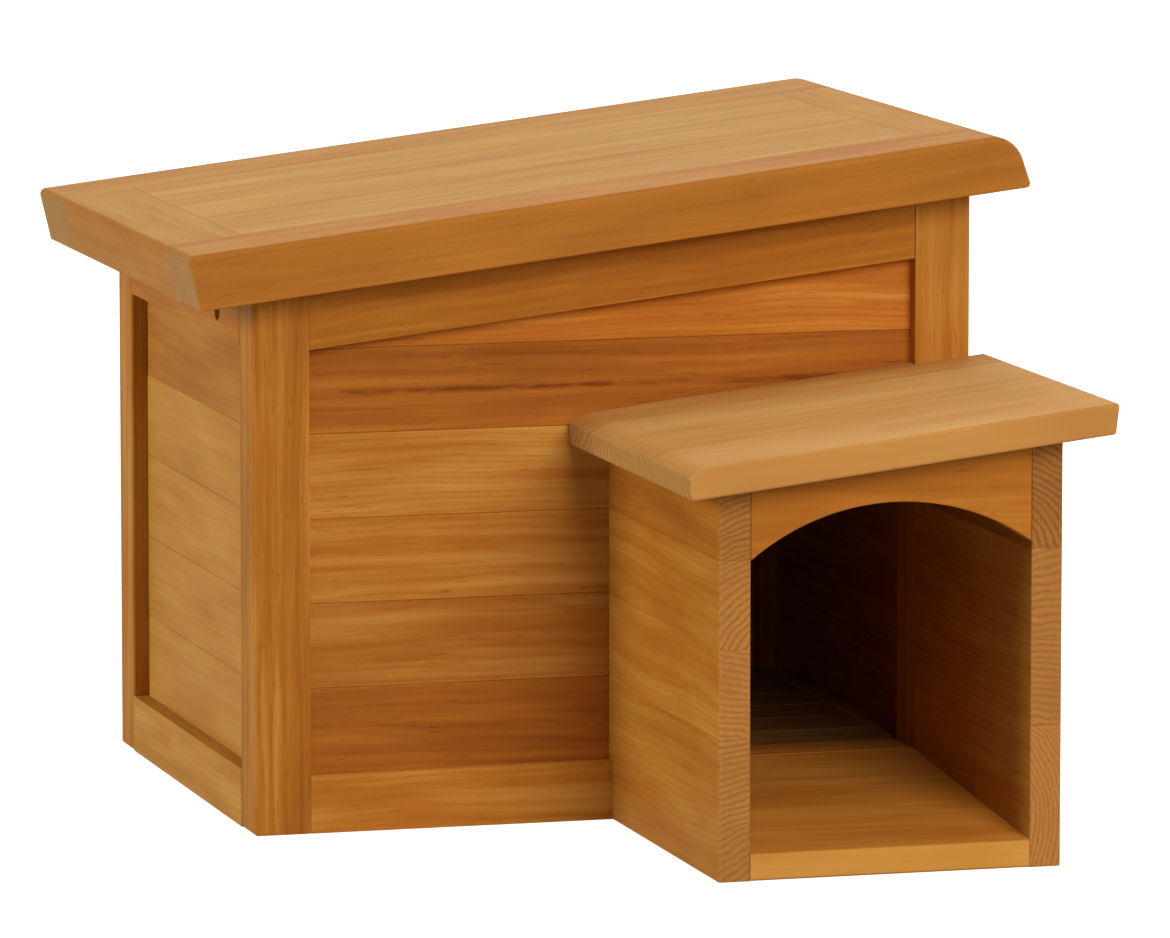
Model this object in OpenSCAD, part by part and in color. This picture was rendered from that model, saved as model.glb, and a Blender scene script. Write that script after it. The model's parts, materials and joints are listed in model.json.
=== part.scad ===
// Hedgehog house: a framed and boarded timber box with a lean-to lid that is
// hinged along its back edge, and an arched porch with a ramp at the front.
// All sizes are in millimetres. Shapes are drawn from the front left corner of
// the box, X to the right, Y to the back, Z up, and centred at the end.

/* [Box] */
// Width of the box over its corner posts
body_w = 400; // [370:5:430]
// Depth of the box over its corner posts
body_d = 320; // [290:5:350]
// Height of the box at its low left edge
low_h = 290; // [284:1:300]
// Slope of the lid and the porch roof, rising to the right, in degrees
roof_pitch = 6.6; // [5:0.1:8]
// Side of the square corner posts, and thickness of the rails
post = 31; // [28:0.5:34]
// Height of the four bottom rails
rail_h = 31.5; // [28:0.5:34]
// Height of the sloping top rails at the front and back
top_rail_h = 33; // [28:0.5:36]
// Height of the top rail at the low left side
side_rail_h = 30; // [26:0.5:34]

/* [Wall boards] */
// Thickness of the wall boards
board_t = 12; // [10:0.5:14]
// Depth of the wall boards behind the faces of posts and rails
recess = 9; // [6:0.5:10]
// Depth of the grooves in posts and rails that hold the boards
groove_d = 6; // [4:0.5:7]
// Thickness of the tongue between two boards
tongue_t = 4; // [3:0.5:5]
// Height of the tongue between two boards
tongue_h = 4; // [3:0.5:5]

/* [Vents] */
// Diameter of the vent holes in the side top rails
vent_d = 12; // [10:0.5:13]
// Number of vent holes on each side
vent_count = 3; // [1:1:5]
// Distance of the first vent hole behind the front face
vent_inset = 81; // [65:1:95]
// Height of the vent holes above the lower edge of their rail
vent_up = 14.5; // [14:0.5:16]

/* [Floor] */
// Number of floor boards
floor_count = 6; // [4:1:8]
// Thickness of the floor boards
floor_t = 14; // [10:1:16]
// Drainage gap between two floor boards
floor_gap = 1; // [0.5:0.5:3]
// Width of the two battens under the floor
floor_batten_w = 20; // [15:1:30]
// Height of the two battens under the floor
floor_batten_h = 12; // [6:1:14]

/* [Lid] */
// Thickness of the lid
lid_t = 30; // [25:1:34]
// Overhang of the underside past the low left side
lid_left = 35.7; // [28:0.1:45]
// Overhang of the underside past the high right side
lid_right = 26.1; // [20:0.1:35]
// Overhang at the front
lid_front = 28; // [20:1:36]
// Overhang at the back
lid_back = 19; // [18:1:30]
// Undercut of the lid's left end over its thickness
lid_undercut = 2; // [0:0.5:5]
// Radius of the large round-over along the lid's right end
lid_round = 16; // [12:1:22]
// Splay of the lid's right end below its round-over
lid_splay = 2.6; // [0:0.1:6]
// Width of the lid's front rail
lid_front_rail = 55; // [45:1:70]
// Width of the lid's back rail
lid_back_rail = 62; // [45:1:75]
// Width of the lid's left rail
lid_left_rail = 41.3; // [35:0.1:60]
// Width of the lid's right rail
lid_right_rail = 47.3; // [40:0.1:60]
// Width of the battens under the lid
lid_batten_w = 20; // [15:1:25]
// Depth of the battens under the lid
lid_batten_h = 15; // [10:1:20]
// Clearance between the lid's battens and the box
lid_batten_gap = 3; // [2:0.5:6]

/* [Porch] */
// Left face of the porch, from the left face of the box
porch_x = 199; // [180:1:214]
// Depth of the porch in front of the box
porch_d = 200; // [160:5:240]
// Thickness of the porch walls and of the arched front board
wall_t = 17; // [15:0.5:18]
// Height of the porch roof's underside at the porch's left face
porch_h = 205.8; // [204:0.1:215]
// Height of the lowest board of the porch walls
foot_board_h = 75; // [60:1:90]
// Highest point of the arch
arch_top = 196; // [190:1:200]
// Radius of the arch
arch_r = 127; // [120:1:140]
// Offset of the arch to the right of the entrance's middle
arch_shift = 3; // [0:0.5:5]
// Height of the ramp's front edge, which is also its thickness
ramp_t = 14.7; // [12:0.1:18]
// Depth of the cleat that carries the back end of the ramp
cleat_d = 20; // [15:1:40]

/* [Porch roof] */
// Thickness of the porch roof
porch_roof_t = 16.4; // [14:0.1:20]
// Overhang of the porch roof at its left end
porch_roof_left = 21.5; // [15:0.5:30]
// Overhang of the porch roof at its right end
porch_roof_right = 21.8; // [18:0.1:30]
// Outward lean of the porch roof's right end over its thickness
porch_roof_lean = 2; // [0:0.5:4]
// Overhang of the porch roof at the front
porch_roof_front = 22; // [15:1:35]
// Radius of the round-over at the left end
porch_round_r = 34; // [24:1:40]
// Length over which the round-over falls at the left end
porch_round_w = 16; // [10:1:18]

/* [Hinges] */
// Length of a hinge
hinge_l = 50; // [40:1:60]
// Distance of a hinge's middle from the side of the box
hinge_inset = 80; // [60:1:110]
// Radius of the knuckles
knuckle_r = 3.2; // [3:0.1:3.6]
// Radius of the hinge pins
pin_r = 1.5; // [1.2:0.1:1.8]
// Thickness of the hinge leaves
leaf_t = 1.5; // [1:0.1:1.8]
// Reach of a leaf from the pin's middle
leaf_w = 15; // [14:0.5:15]
// Radial clearance of the pins in the knuckles
pin_fit = 0.05; // [0.02:0.01:0.1]

/* [Screws] */
// Shaft radius of the hinge screws
hinge_screw_r = 1.3; // [1:0.1:1.5]
// Length of the hinge screws
hinge_screw_l = 14; // [10:1:18]
// Shaft radius of the porch screws
porch_screw_r = 2; // [1.5:0.1:2.5]
// Length of the porch screws
porch_screw_l = 50; // [40:1:60]
// Distance of the porch screws from the inside of the porch
porch_screw_in = 5; // [4.5:0.1:5.5]

/* [Hidden] */
// Side clearance of tongues and of boards in their grooves
joint_fit = 0.2;
// Gap between the shoulders of two wall boards
seam = 0.1;
// Gap between the lid and the tops of the walls, and round the knuckles
lid_gap = 0.3;
// Height by which the top rails' tenons stay below the tops of the posts
tenon_drop = 2;
// Overcut of a cut through a face
over = 1;
// Boards up to the top rail on the low left side
left_count = 5;
// Boards up to the top rail on the high right side, the front and the back
right_count = left_count + 1;
// Boards below the head of the doorway
door_count = 3;
// Boards up the porch walls and strips across the roofs
porch_count = 4;
porch_strips = 5;
lid_strips = 5;
// Knuckles of a hinge, turn about on the two leaves, and screws in each leaf
knuckle_count = 5;
leaf_screws = 3;
arc_steps = 12;

rise = tan(roof_pitch);
inner_w = body_w - 2 * post;
inner_d = body_d - 2 * post;
groove_w = board_t + joint_fit;
// Visible height of one wall board
board_h = (low_h - side_rail_h - rail_h) / left_count;
left_top = low_h - side_rail_h;
right_top = rail_h + right_count * board_h;
door_head = rail_h + door_count * board_h;
door_x = porch_x + wall_t;
door_end = body_w - post;
porch_end = door_end + wall_t;
porch_board_h = (door_head - foot_board_h) / (porch_count - 2);
lid_x0 = -lid_left;
lid_x1 = body_w / cos(roof_pitch) + lid_right;
lid_y0 = -lid_front;
lid_y1 = body_d + lid_back;
lid_panel_x0 = lid_x0 - lid_undercut + lid_left_rail;
lid_panel_x1 = lid_x1 - lid_right_rail;
lid_panel_y0 = lid_y0 + lid_front_rail;
lid_panel_y1 = lid_y1 - lid_back_rail;
porch_roof_y0 = -porch_d - porch_roof_front;
porch_strip = (recess - porch_roof_y0) / porch_strips;
porch_roof_x0 = -porch_roof_left / cos(roof_pitch);
porch_roof_x1 = (porch_end - porch_x + porch_roof_right) / cos(roof_pitch);
pin_off = knuckle_r + lid_gap;
pin_y = body_d + pin_off;
leaf_back = pin_off - leaf_t;
knuckle_l = hinge_l / knuckle_count;
hinge_xs = [hinge_inset, body_w / cos(roof_pitch) - hinge_inset];
hinge_screw_z = pin_off + (leaf_w - pin_off) / 2;
head_ratio = 1.9;
// The middle of the whole object's outline, seen from above
mid_x = ((lid_x0 - lid_undercut) * cos(roof_pitch) - (lid_t + lid_gap) * sin(roof_pitch)
        + lid_x1 * cos(roof_pitch) - lid_gap * sin(roof_pitch)) / 2;
mid_y = (porch_roof_y0 + lid_y1) / 2;

$fn = 48;

// Height of the wall tops, and of the lower edge of the sloping top rails, at x
function wall_top(x) = low_h + x * rise;
function slope_edge(x) = wall_top(x) - top_rail_h;
// Height of the porch roof's underside at x
function porch_top(x) = porch_h + (x - porch_x) * rise;
// Points along an arc from angle a to angle b
function arc(c, r, a, b) =
    [for (i = [0 : arc_steps]) let (t = a + (b - a) * i / arc_steps) c + r * [cos(t), sin(t)]];
// Section of a wall board, across its thickness and up its height. The lowest
// board stands in the rail's groove, the topmost one reaches into the rail above.
function board_section(h, lowest, topmost) =
    let (m = board_t / 2, t = tongue_t / 2, g = t + joint_fit, d = tongue_h + joint_fit)
    concat(
        lowest ? [[0, -groove_d], [board_t, -groove_d]]
            : [[0, 0], [m - g, 0], [m - g, d], [m + g, d], [m + g, 0], [board_t, 0]],
        topmost ? [[board_t, h + groove_d], [0, h + groove_d]]
            : [[board_t, h - seam], [m + t, h - seam], [m + t, h + tongue_h],
                [m - t, h + tongue_h], [m - t, h - seam], [0, h - seam]]);

// Moves the drawing so that the object's outline is centred on Z
module centred() {
    translate([-mid_x, -mid_y, 0]) children();
}

// The sloping plane of the wall tops, with X up the slope and Z square to it
module on_walls() {
    translate([0, 0, low_h]) rotate([0, -roof_pitch, 0]) children();
}

// The sloping plane of the porch roof's underside
module on_porch() {
    translate([porch_x, 0, porch_h]) rotate([0, -roof_pitch, 0]) children();
}

// A drawing in X and Z, drawn out along Y from y0 to y1
module along_y(y0, y1) {
    translate([0, y1, 0]) rotate([90, 0, 0]) linear_extrude(y1 - y0) children();
}

// A drawing in Y and Z, drawn out along X from x0 to x1
module along_x(x0, x1) {
    translate([x0, 0, 0]) rotate([90, 0, 90]) linear_extrude(x1 - x0) children();
}

// The front wall turned about to the back, and the left wall to the right
module to_back() {
    translate([0, body_d, 0]) mirror([0, 1, 0]) children();
}

module to_right() {
    translate([body_w, 0, 0]) mirror([1, 0, 0]) children();
}

// A band in X and Z from x0 to x1, given its lower and upper height at each end
module band(x0, x1, low0, low1, high0, high1) {
    polygon([[x0, low0], [x1, low1], [x1, high1], [x0, high0]]);
}

// A square post with its top cut to the slope, at x, y
module post_blank(x, y) {
    along_y(y, y + post) band(x, x + post, 0, 0, wall_top(x), wall_top(x + post));
}

// Grooves of the two walls that meet in the front left post
module post_grooves() {
    translate([post - groove_d, recess, -over]) cube([groove_d + over, groove_w, 2 * low_h]);
    translate([recess, post - groove_d, -over]) cube([groove_w, groove_d + over, 2 * low_h]);
}

// A hole for a porch screw at x, z, with its countersunk head at y
module porch_screw(x, y, z, fit) {
    r = porch_screw_r + fit;
    translate([x, y, z]) rotate([90, 0, 0]) {
        cylinder(h = porch_screw_l, r = r);
        cylinder(h = porch_screw_r, r1 = head_ratio * porch_screw_r + fit, r2 = r);
    }
}

// All porch screws, or with a fit their holes: through the boards on the left
// and, sunk to the same grip, through the post on the right
module porch_screw_set(fit) {
    for (i = [0 : door_count - 1]) {
        z = rail_h + (i + 0.5) * board_h;
        porch_screw(door_x - porch_screw_in, recess + board_t, z, fit);
        porch_screw(door_end + porch_screw_in, post, z, fit);
    }
}

module post_front_left() {
    color("#b8752f") centred() difference() {
        post_blank(0, 0);
        post_grooves();
    }
}

module post_front_right() {
    color("#b8752f") centred() difference() {
        post_blank(body_w - post, 0);
        to_right() post_grooves();
        porch_screw_set(joint_fit / 2);
    }
}

module post_back_left() {
    color("#b0854b") centred() difference() {
        post_blank(0, body_d - post);
        to_back() post_grooves();
    }
}

module post_back_right() {
    color("#b0854b") centred() difference() {
        post_blank(body_w - post, body_d - post);
        to_back() to_right() post_grooves();
    }
}

// A front bottom rail with stub tenons, grooved on top from the left post to x1
module front_bottom_rail(x1) {
    difference() {
        union() {
            translate([post, 0, 0]) cube([inner_w, post, rail_h]);
            translate([post - groove_d + joint_fit, recess, 0])
                cube([inner_w + 2 * (groove_d - joint_fit), board_t, rail_h - groove_d]);
        }
        translate([post - over, recess, rail_h - groove_d])
            cube([x1 - post + over, groove_w, groove_d + over]);
    }
}

// A sloping top rail with stub tenons, grooved along its lower edge
module front_top_rail() {
    x0 = post;
    x1 = body_w - post;
    t0 = x0 - groove_d + joint_fit;
    t1 = x1 + groove_d - joint_fit;
    d = groove_d + joint_fit;
    foot = d + joint_fit;
    difference() {
        union() {
            along_y(0, post) band(x0, x1, slope_edge(x0), slope_edge(x1), wall_top(x0), wall_top(x1));
            along_y(recess, recess + board_t)
                band(t0, t1, slope_edge(t0) + foot, slope_edge(t1) + foot,
                    wall_top(t0) - tenon_drop, wall_top(t1) - tenon_drop);
        }
        along_y(recess, recess + groove_w)
            band(x0, x1, slope_edge(x0) - over, slope_edge(x1) - over,
                slope_edge(x0) + d, slope_edge(x1) + d);
    }
}

module rail_front_bottom() {
    color("#a9682a") centred() front_bottom_rail(door_x);
}

module rail_front_top() {
    color("#a9682a") centred() front_top_rail();
}

module rail_back_bottom() {
    color("#a9682a") centred() to_back() front_bottom_rail(body_w - post + over);
}

module rail_back_top() {
    color("#a9682a") centred() difference() {
        to_back() front_top_rail();
        hinge_screw_set_box(joint_fit / 2);
    }
}

// A bottom rail between the two left posts
module left_bottom_rail() {
    difference() {
        union() {
            translate([0, post, 0]) cube([post, inner_d, rail_h]);
            translate([recess, post - groove_d + joint_fit, 0])
                cube([board_t, inner_d + 2 * (groove_d - joint_fit), rail_h - groove_d]);
        }
        translate([recess, post - over, rail_h - groove_d])
            cube([groove_w, inner_d + 2 * over, groove_d + over]);
    }
}

// A top rail between two side posts, standing from x to x + post, with its lower
// edge level at z and its top on the slope. Its groove starts at gx, its tenons at wx.
module side_top_rail(x, z, gx, wx) {
    d = groove_d + joint_fit;
    foot = z + d + joint_fit;
    x1 = x + post;
    w1 = wx + board_t;
    difference() {
        union() {
            along_y(post, body_d - post) band(x, x1, z, z, wall_top(x), wall_top(x1));
            along_y(post - groove_d + joint_fit, body_d - post + groove_d - joint_fit)
                band(wx, w1, foot, foot, wall_top(wx) - tenon_drop, wall_top(w1) - tenon_drop);
        }
        translate([gx, post - over, z - over]) cube([groove_w, inner_d + 2 * over, d + over]);
        for (i = [0 : vent_count - 1]) {
            y = vent_inset + (vent_count > 1 ? i * (body_d - 2 * vent_inset) / (vent_count - 1) : 0);
            translate([x - over, y, z + vent_up]) rotate([0, 90, 0])
                cylinder(h = post + 2 * over, d = vent_d);
        }
    }
}

module rail_left_bottom() {
    color("#b0854b") centred() left_bottom_rail();
}

module rail_left_top() {
    color("#b0854b") centred() side_top_rail(0, left_top, recess, recess);
}

module rail_right_bottom() {
    color("#b0854b") centred() to_right() left_bottom_rail();
}

module rail_right_top() {
    color("#b0854b") centred()
        side_top_rail(body_w - post, right_top, body_w - recess - groove_w, body_w - recess - board_t);
}

// Board i of the front wall, from the left post to x1, under the sloping rail
module front_wall_board(i, x1) {
    x0 = post - groove_d;
    topmost = i == right_count;
    h = topmost ? slope_edge(body_w) - rail_h - (i - 1) * board_h : board_h;
    intersection() {
        translate([0, recess, rail_h + (i - 1) * board_h])
            along_x(x0, x1) polygon(board_section(h, i == 1, topmost));
        along_y(0, body_d) band(0, body_w, 0, 0, slope_edge(0) + groove_d, slope_edge(body_w) + groove_d);
    }
}

// Board i of the front wall, short where it ends at the doorway
module front_board(i) {
    color(i % 2 == 0 ? "#b97530" : "#a9641e") centred() difference() {
        front_wall_board(i, i > door_count ? body_w - post + groove_d : door_x);
        porch_screw_set(joint_fit / 2);
    }
}

// Board i of the left wall
module left_wall_board(i, count) {
    y0 = post - groove_d;
    y1 = body_d - post + groove_d;
    translate([recess, 0, rail_h + (i - 1) * board_h])
        along_y(y0, y1) polygon(board_section(board_h, i == 1, i == count));
}

module left_board(i) {
    color(i % 2 == 0 ? "#b98f55" : "#b0824a") centred() left_wall_board(i, left_count);
}

module right_boards() {
    color("#b98f55") centred() to_right() for (i = [1 : right_count]) left_wall_board(i, right_count);
}

module back_boards() {
    color("#a9641e") centred() to_back() for (i = [1 : right_count])
        front_wall_board(i, body_w - post + groove_d);
}

module floor_boards() {
    pitch = (inner_d + floor_gap) / floor_count;
    color("#9c6a35") centred() for (i = [0 : floor_count - 1])
        translate([post, post + i * pitch, rail_h - floor_t]) cube([inner_w, pitch - floor_gap, floor_t]);
}

// Two battens against the side rails, which carry the ends of the floor boards
module floor_battens() {
    color("#a98552") centred() for (x = [post, body_w - post - floor_batten_w])
        translate([x, post, rail_h - floor_t - floor_batten_h])
            cube([floor_batten_w, inner_d, floor_batten_h]);
}

// Lower edge of porch wall board i
function porch_seam(i) = i == 1 ? 0 : foot_board_h + (i - 2) * porch_board_h;

// Board i of a porch wall from x to x + wall_t, back to y1
module porch_wall_board(i, x, y1) {
    low = porch_seam(i);
    high = i < porch_count ? [porch_seam(i + 1), porch_seam(i + 1)] : [porch_top(x), porch_top(x + wall_t)];
    along_y(-porch_d, y1) band(x, x + wall_t, low, low, high[0], high[1]);
}

// The left porch wall meets the sunk boards, and is notched over the bottom rail
module porch_left(i) {
    color(i % 2 == 0 ? "#a8672a" : "#b07530") centred() difference() {
        porch_wall_board(i, porch_x, recess);
        translate([porch_x - over, 0, -over]) cube([wall_t + 2 * over, recess + over, rail_h + over]);
        porch_screw_set(joint_fit / 2);
    }
}

module porch_right(i) {
    color(i % 2 == 0 ? "#a8672a" : "#b07530") centred() difference() {
        porch_wall_board(i, door_end, 0);
        porch_screw_set(joint_fit / 2);
    }
}

// The front board between the porch walls, cut out to a flat arch
module porch_arch() {
    x_mid = (door_x + door_end) / 2 + arch_shift;
    z_mid = arch_top - arch_r;
    spring = z_mid + sqrt(pow(arch_r, 2) - pow(x_mid - door_x, 2));
    color("#b8752f") centred() difference() {
        along_y(-porch_d, -porch_d + wall_t)
            band(door_x, door_end, spring, spring, porch_top(door_x), porch_top(door_end));
        translate([x_mid, -porch_d - over, z_mid]) rotate([-90, 0, 0])
            cylinder(h = wall_t + 2 * over, r = arch_r, $fn = 96);
    }
}

// The ramp from the ground up to the bottom rail
module porch_ramp() {
    color("#a8672a") centred() along_x(door_x, door_end)
        polygon([[-porch_d, 0], [0, rail_h - ramp_t], [0, rail_h], [-porch_d, ramp_t]]);
}

// The cleat under the back end of the ramp, glued to the bottom rail
module ramp_cleat() {
    h = rail_h - ramp_t;
    color("#a98552") centred() along_x(door_x, door_end)
        polygon([[-cleat_d, 0], [0, 0], [0, h], [-cleat_d, h * (1 - cleat_d / porch_d)]]);
}

// Section of the porch roof: a round-over on the left, a plumb cut on the right
module porch_roof_section() {
    x0 = porch_roof_x0;
    c = [x0 + porch_round_w, porch_roof_t - porch_round_r];
    a = acos(porch_round_w / porch_round_r);
    x1 = porch_roof_x1 + porch_roof_t * rise + porch_roof_lean;
    polygon(concat([[x0, 0], [porch_roof_x1, 0], [x1, porch_roof_t]],
        arc(c, porch_round_r, 90, 180 - a)));
}

// Strip i of the porch roof, from the front. The last one is notched round the post.
module porch_roof(i) {
    y0 = porch_roof_y0 + (i - 1) * porch_strip;
    color(i == porch_strips ? "#b5733f" : "#c0904f") centred() difference() {
        on_porch() along_y(y0, y0 + porch_strip) porch_roof_section();
        translate([door_end, 0, 0]) cube([body_w, body_d, low_h]);
    }
}

module porch_screws() {
    color("#c9a94a") centred() porch_screw_set(0);
}

// Section of the lid: an undercut left end, and a splayed and rounded right end
module lid_section() {
    c = [lid_x1 - lid_splay - lid_round, lid_t - lid_round];
    polygon(concat([[lid_x0, 0], [lid_x1, 0]], arc(c, lid_round, 0, 90), [[lid_x0 - lid_undercut, lid_t]]));
}

// A piece of the lid between x0 and x1, and between y0 and y1
module lid_piece(x0, x1, y0, y1) {
    centred() on_walls() translate([0, 0, lid_gap]) along_y(y0, y1) intersection() {
        lid_section();
        translate([x0, 0]) square([x1 - x0, lid_t]);
    }
}

module lid_rail_front() {
    color("#b06a2a") lid_piece(2 * lid_x0, 2 * lid_x1, lid_y0, lid_panel_y0);
}

module lid_rail_back() {
    color("#b07a40") difference() {
        lid_piece(2 * lid_x0, 2 * lid_x1, lid_panel_y1, lid_y1);
        centred() hinge_screw_set_lid(joint_fit / 2);
    }
}

module lid_rail_left() {
    color("#bd8a50") lid_piece(2 * lid_x0, lid_panel_x0, lid_panel_y0, lid_panel_y1);
}

module lid_rail_right() {
    color("#bd8a50") lid_piece(lid_panel_x1, 2 * lid_x1, lid_panel_y0, lid_panel_y1);
}

module lid_board(i) {
    w = (lid_panel_y1 - lid_panel_y0) / lid_strips;
    color(i % 2 == 0 ? "#c79d62" : "#bf9458")
        lid_piece(lid_panel_x0, lid_panel_x1, lid_panel_y0 + (i - 1) * w, lid_panel_y0 + i * w);
}

// Two battens under the lid, just inside the side walls: they hold its boards flat
// and drop between the walls when it closes
module lid_battens() {
    lean = lid_batten_h * rise;
    x_left = post / cos(roof_pitch) + lid_batten_gap;
    x_right = (body_w - post) / cos(roof_pitch) - lean - lid_batten_gap - lid_batten_w;
    y0 = post + lid_batten_gap;
    color("#a98552") centred() on_walls() for (x = [x_left, x_right])
        translate([x, y0, lid_gap - lid_batten_h]) cube([lid_batten_w, body_d - 2 * y0, lid_batten_h]);
}

// Ends along the pin of knuckle i, which stays clear of its neighbours
function knuckle_x0(i) = -hinge_l / 2 + i * knuckle_l + (i > 0 ? lid_gap / 2 : 0);
function knuckle_x1(i) = -hinge_l / 2 + (i + 1) * knuckle_l - (i < knuckle_count - 1 ? lid_gap / 2 : 0);

// A leaf flat on the lid's underside, with its screw holes and with every second
// knuckle from the one called first. The plate stops short of the other knuckles.
module leaf(first) {
    difference() {
        union() {
            translate([-hinge_l / 2, pin_off + joint_fit, leaf_back])
                cube([hinge_l, leaf_w - pin_off - joint_fit, leaf_t]);
            for (i = [first : 2 : knuckle_count - 1]) {
                w = knuckle_x1(i) - knuckle_x0(i);
                translate([knuckle_x0(i), 0, leaf_back]) cube([w, pin_off + over, leaf_t]);
                translate([knuckle_x0(i), 0, 0]) rotate([0, 90, 0]) cylinder(h = w, r = knuckle_r);
            }
        }
        translate([-hinge_l / 2 - over, 0, 0]) rotate([0, 90, 0])
            cylinder(h = hinge_l + 2 * over, r = pin_r + pin_fit);
        leaf_screw_row(joint_fit / 4);
    }
}

// The screws of a leaf that lies flat under the lid, driven upwards
module leaf_screw_row(fit) {
    for (i = [0 : leaf_screws - 1])
        translate([(i - (leaf_screws - 1) / 2) * hinge_l / leaf_screws, hinge_screw_z, leaf_back]) {
            cylinder(h = hinge_screw_l, r = hinge_screw_r + fit);
            cylinder(h = hinge_screw_r, r1 = head_ratio * hinge_screw_r + fit, r2 = hinge_screw_r + fit);
        }
}

// The places of both hinge pins, on the slope
module at_hinges() {
    on_walls() for (x = hinge_xs) translate([x, pin_y, lid_gap - pin_off]) children();
}

// A leaf turned from the lid's underside to the back of the box
module turned() {
    rotate([-90, 0, 0]) mirror([0, 0, 1]) children();
}

module hinge_screw_set_box(fit) {
    at_hinges() turned() leaf_screw_row(fit);
}

module hinge_screw_set_lid(fit) {
    at_hinges() leaf_screw_row(fit);
}

module hinge_leaves_box() {
    color("#c9a94a") centred() at_hinges() turned() leaf(0);
}

module hinge_leaves_lid() {
    color("#c9a94a") centred() at_hinges() leaf(1);
}

// The pins, with a small head at each end
module hinge_pins() {
    head = leaf_t / 2;
    color("#c9a94a") centred() at_hinges() rotate([0, 90, 0]) {
        cylinder(h = hinge_l + 2 * lid_gap, r = pin_r, center = true);
        for (s = [-1, 1]) translate([0, 0, s * (hinge_l / 2 + lid_gap + head / 2)])
            cylinder(h = head, r = knuckle_r - leaf_t / 2, center = true);
    }
}

module hinge_screws_box() {
    color("#c9a94a") centred() hinge_screw_set_box(0);
}

module hinge_screws_lid() {
    color("#c9a94a") centred() hinge_screw_set_lid(0);
}

post_front_left();
post_front_right();
post_back_left();
post_back_right();
rail_front_bottom();
rail_front_top();
rail_back_bottom();
rail_back_top();
rail_left_bottom();
rail_left_top();
rail_right_bottom();
rail_right_top();
front_board(1);  // front_board_1
front_board(2);  // front_board_2
front_board(3);  // front_board_3
front_board(4);  // front_board_4
front_board(5);  // front_board_5
front_board(6);  // front_board_6
left_board(1);  // left_board_1
left_board(2);  // left_board_2
left_board(3);  // left_board_3
left_board(4);  // left_board_4
left_board(5);  // left_board_5
right_boards();
back_boards();
floor_boards();
floor_battens();
porch_left(1);  // porch_left_1
porch_left(2);  // porch_left_2
porch_left(3);  // porch_left_3
porch_left(4);  // porch_left_4
porch_right(1);  // porch_right_1
porch_right(2);  // porch_right_2
porch_right(3);  // porch_right_3
porch_right(4);  // porch_right_4
porch_arch();
porch_ramp();
ramp_cleat();
porch_roof(1);  // porch_roof_1
porch_roof(2);  // porch_roof_2
porch_roof(3);  // porch_roof_3
porch_roof(4);  // porch_roof_4
porch_roof(5);  // porch_roof_5
porch_screws();
hinge_leaves_box();
hinge_pins();
hinge_screws_box();
lid_rail_front();
lid_rail_back();
lid_rail_left();
lid_rail_right();
lid_board(1);  // lid_board_1
lid_board(2);  // lid_board_2
lid_board(3);  // lid_board_3
lid_board(4);  // lid_board_4
lid_board(5);  // lid_board_5
lid_battens();
hinge_leaves_lid();
hinge_screws_lid();
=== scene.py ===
# %% [markdown]
# # A hedgehog house of oiled timber
# The house is a box of square posts and rails with sunk boards between them. A thick
# lean-to lid is hinged along the back, and an arched porch with a ramp stands in front.
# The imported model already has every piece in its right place, but with knife-sharp
# edges and plain colours. This lesson builds the pieces again with the small rounded
# edges that a plane and sandpaper leave, and finishes them as real timber and brass.

import json
import math

import bpy
import numpy as np
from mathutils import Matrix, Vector

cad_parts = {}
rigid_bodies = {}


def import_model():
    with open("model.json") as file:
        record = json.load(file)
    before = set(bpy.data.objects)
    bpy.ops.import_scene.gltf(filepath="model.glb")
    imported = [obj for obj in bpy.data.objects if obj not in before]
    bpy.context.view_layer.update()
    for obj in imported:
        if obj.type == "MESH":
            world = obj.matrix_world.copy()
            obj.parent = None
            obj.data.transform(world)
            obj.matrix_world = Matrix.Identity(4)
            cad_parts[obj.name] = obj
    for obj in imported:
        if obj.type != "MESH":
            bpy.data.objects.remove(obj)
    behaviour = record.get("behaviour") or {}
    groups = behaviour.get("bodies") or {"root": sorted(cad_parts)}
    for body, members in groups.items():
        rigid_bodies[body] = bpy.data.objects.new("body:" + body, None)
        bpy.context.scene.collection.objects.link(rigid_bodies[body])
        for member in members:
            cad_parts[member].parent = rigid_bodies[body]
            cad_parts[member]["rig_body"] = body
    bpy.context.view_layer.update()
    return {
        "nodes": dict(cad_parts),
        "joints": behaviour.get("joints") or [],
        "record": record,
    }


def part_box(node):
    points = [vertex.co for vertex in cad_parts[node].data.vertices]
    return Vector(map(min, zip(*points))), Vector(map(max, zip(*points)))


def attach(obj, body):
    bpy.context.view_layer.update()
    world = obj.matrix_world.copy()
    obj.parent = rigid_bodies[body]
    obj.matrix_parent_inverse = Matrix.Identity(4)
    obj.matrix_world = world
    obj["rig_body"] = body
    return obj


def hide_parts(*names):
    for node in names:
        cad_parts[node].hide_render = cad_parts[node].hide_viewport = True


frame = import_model()

# %% [markdown]
# ## Working in millimetres from the front left foot
# A joiner measures in millimetres from one corner, so the shapes below do the same:
# X to the right, Y to the back, Z up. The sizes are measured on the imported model. The
# lid and the porch roof slope, so they are drawn level, in a plane of their own, and
# tilted afterwards: a turn about Y that the hinge's axis gives.

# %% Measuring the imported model
corner = np.array(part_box("post_front_left")[0])
hinge = frame["joints"][0]
slope = math.atan2(-hinge["axis"][2], -hinge["axis"][0])
TILT = np.array([[math.cos(slope), 0, math.sin(slope)], [0, 1, 0], [-math.sin(slope), 0, math.cos(slope)]])


def tilt(points, foot):
    """Points of a level drawing, turned up about Y by the slope and moved to the foot."""
    return points @ TILT + foot


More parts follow.
